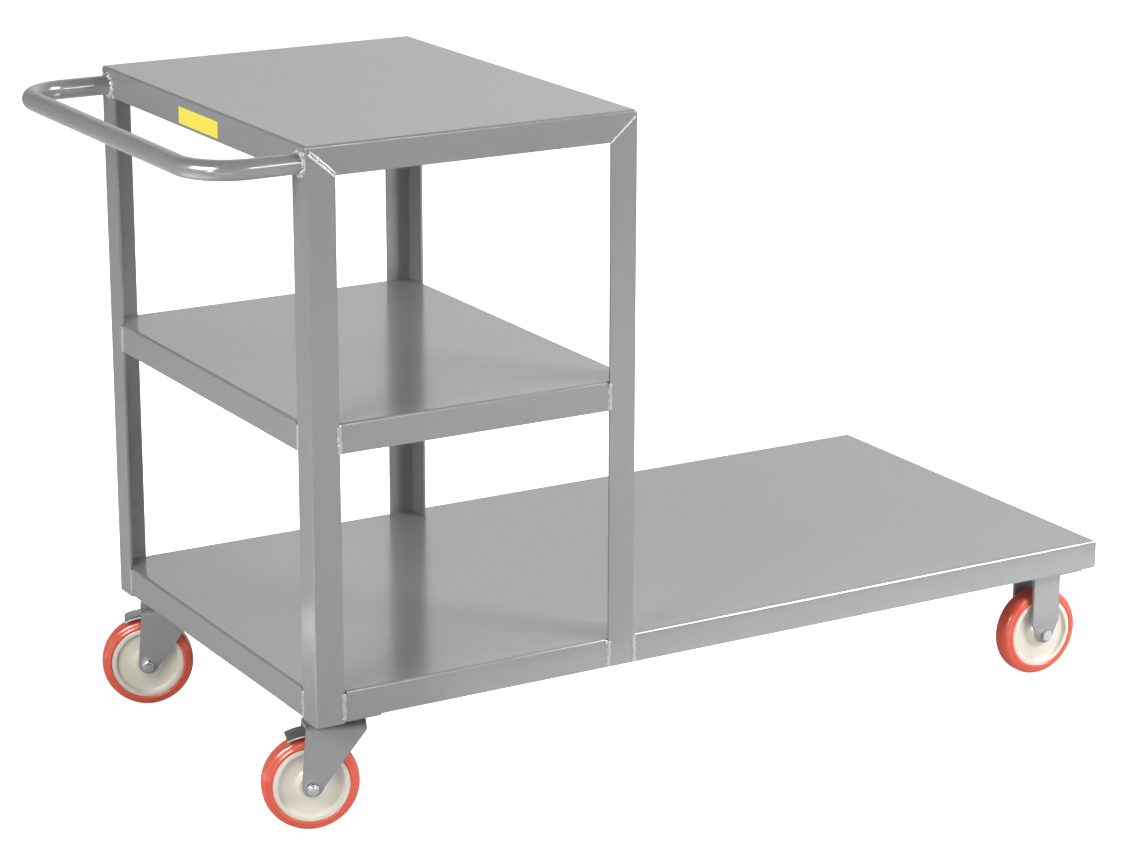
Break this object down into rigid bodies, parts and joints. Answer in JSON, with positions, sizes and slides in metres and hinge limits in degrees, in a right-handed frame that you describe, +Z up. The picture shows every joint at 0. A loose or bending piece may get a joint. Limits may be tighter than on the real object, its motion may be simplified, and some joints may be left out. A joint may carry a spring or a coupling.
{
  "type": "convertible platform truck",
  "caption": "Welded steel platform truck: long lipped deck, a tower of two lipped shelves with a tube push handle at one end, braked swivel casters below it and rigid casters at the other end.",
  "frame": {"origin": "on the floor, below the middle of the overall length and width", "axes": "+X from the push handle to the open end of the deck, +Z up, +Y to the left of a person at the handle who faces +X"},
  "size_m": [1.3588, 0.6096, 0.8878],
  "materials": {
    "enamel": "semi-gloss baked enamel",
    "caster_steel": "semi-gloss grey",
    "zinc_steel": "bright zinc plate",
    "pedal": "dark grey, dull",
    "tread": "glossy polyurethane",
    "core": "satin moulded polyolefin"
  },
  "bodies": {
    "frame": {"deck": "enamel", "middle_shelf": "enamel", "top_shelf": "enamel", "post_rear_right": "enamel", "post_rear_left": "enamel", "post_front_right": "enamel", "post_front_left": "enamel", "push_handle": "enamel", "caster_channel_rear": "enamel", "caster_channel_front": "enamel", "plate_bolts": "zinc_steel", "plate_nuts": "zinc_steel", "swivel_plate_right": "caster_steel", "kingpin_right": "zinc_steel", "race_balls_right": "zinc_steel", "rigid_plate_right": "caster_steel", "rigid_fork_right": "caster_steel", "rigid_sleeve_right": "zinc_steel", "rigid_axle_right": "zinc_steel", "rigid_nut_right": "zinc_steel", "swivel_plate_left": "caster_steel", "kingpin_left": "zinc_steel", "race_balls_left": "zinc_steel", "rigid_plate_left": "caster_steel", "rigid_fork_left": "caster_steel", "rigid_sleeve_left": "zinc_steel", "rigid_axle_left": "zinc_steel", "rigid_nut_left": "zinc_steel"},
    "swivel_right": {"swivel_fork_right": "caster_steel", "swivel_sleeve_right": "zinc_steel", "swivel_axle_right": "zinc_steel", "swivel_nut_right": "zinc_steel", "brake_pin_right": "zinc_steel"},
    "swivel_wheel_right": {"swivel_core_right": "core", "swivel_tread_right": "tread"},
    "brake_right": {"brake_pedal_right": "pedal"},
    "rigid_wheel_right": {"rigid_core_right": "core", "rigid_tread_right": "tread"},
    "swivel_left": {"swivel_fork_left": "caster_steel", "swivel_sleeve_left": "zinc_steel", "swivel_axle_left": "zinc_steel", "swivel_nut_left": "zinc_steel", "brake_pin_left": "zinc_steel"},
    "swivel_wheel_left": {"swivel_core_left": "core", "swivel_tread_left": "tread"},
    "brake_left": {"brake_pedal_left": "pedal"},
    "rigid_wheel_left": {"rigid_core_left": "core", "rigid_tread_left": "tread"}
  },
  "joints": [
    {"name": "swivel_turn_right", "type": "hinge", "parent": "frame", "child": "swivel_right", "pos_m": [-0.49075, -0.2528, 0.16075], "axis": [0, 0, 1], "continuous": true},
    {"name": "swivel_roll_right", "type": "hinge", "parent": "swivel_right", "child": "swivel_wheel_right", "pos_m": [-0.52063, -0.24251, 0.0625], "axis": [0.3256, 0.9455, 0], "continuous": true},
    {"name": "brake_press_right", "type": "hinge", "parent": "swivel_right", "child": "brake_right", "pos_m": [-0.48683, -0.25415, 0.12442], "axis": [-0.3256, -0.9455, 0], "range_deg": [0, 3.4]},
    {"name": "rigid_roll_right", "type": "hinge", "parent": "frame", "child": "rigid_wheel_right", "pos_m": [0.61645, -0.2528, 0.0625], "axis": [0, 1, 0], "continuous": true},
    {"name": "swivel_turn_left", "type": "hinge", "parent": "frame", "child": "swivel_left", "pos_m": [-0.49075, 0.2528, 0.16075], "axis": [0, 0, 1], "continuous": true},
    {"name": "swivel_roll_left", "type": "hinge", "parent": "swivel_left", "child": "swivel_wheel_left", "pos_m": [-0.51994, 0.26489, 0.0625], "axis": [0.3827, 0.9239, 0], "continuous": true},
    {"name": "brake_press_left", "type": "hinge", "parent": "swivel_left", "child": "brake_left", "pos_m": [-0.48692, 0.25121, 0.12442], "axis": [-0.3827, -0.9239, 0], "range_deg": [0, 3.4]},
    {"name": "rigid_roll_left", "type": "hinge", "parent": "frame", "child": "rigid_wheel_left", "pos_m": [0.61645, 0.2528, 0.0625], "axis": [0, 1, 0], "continuous": true}
  ]
}
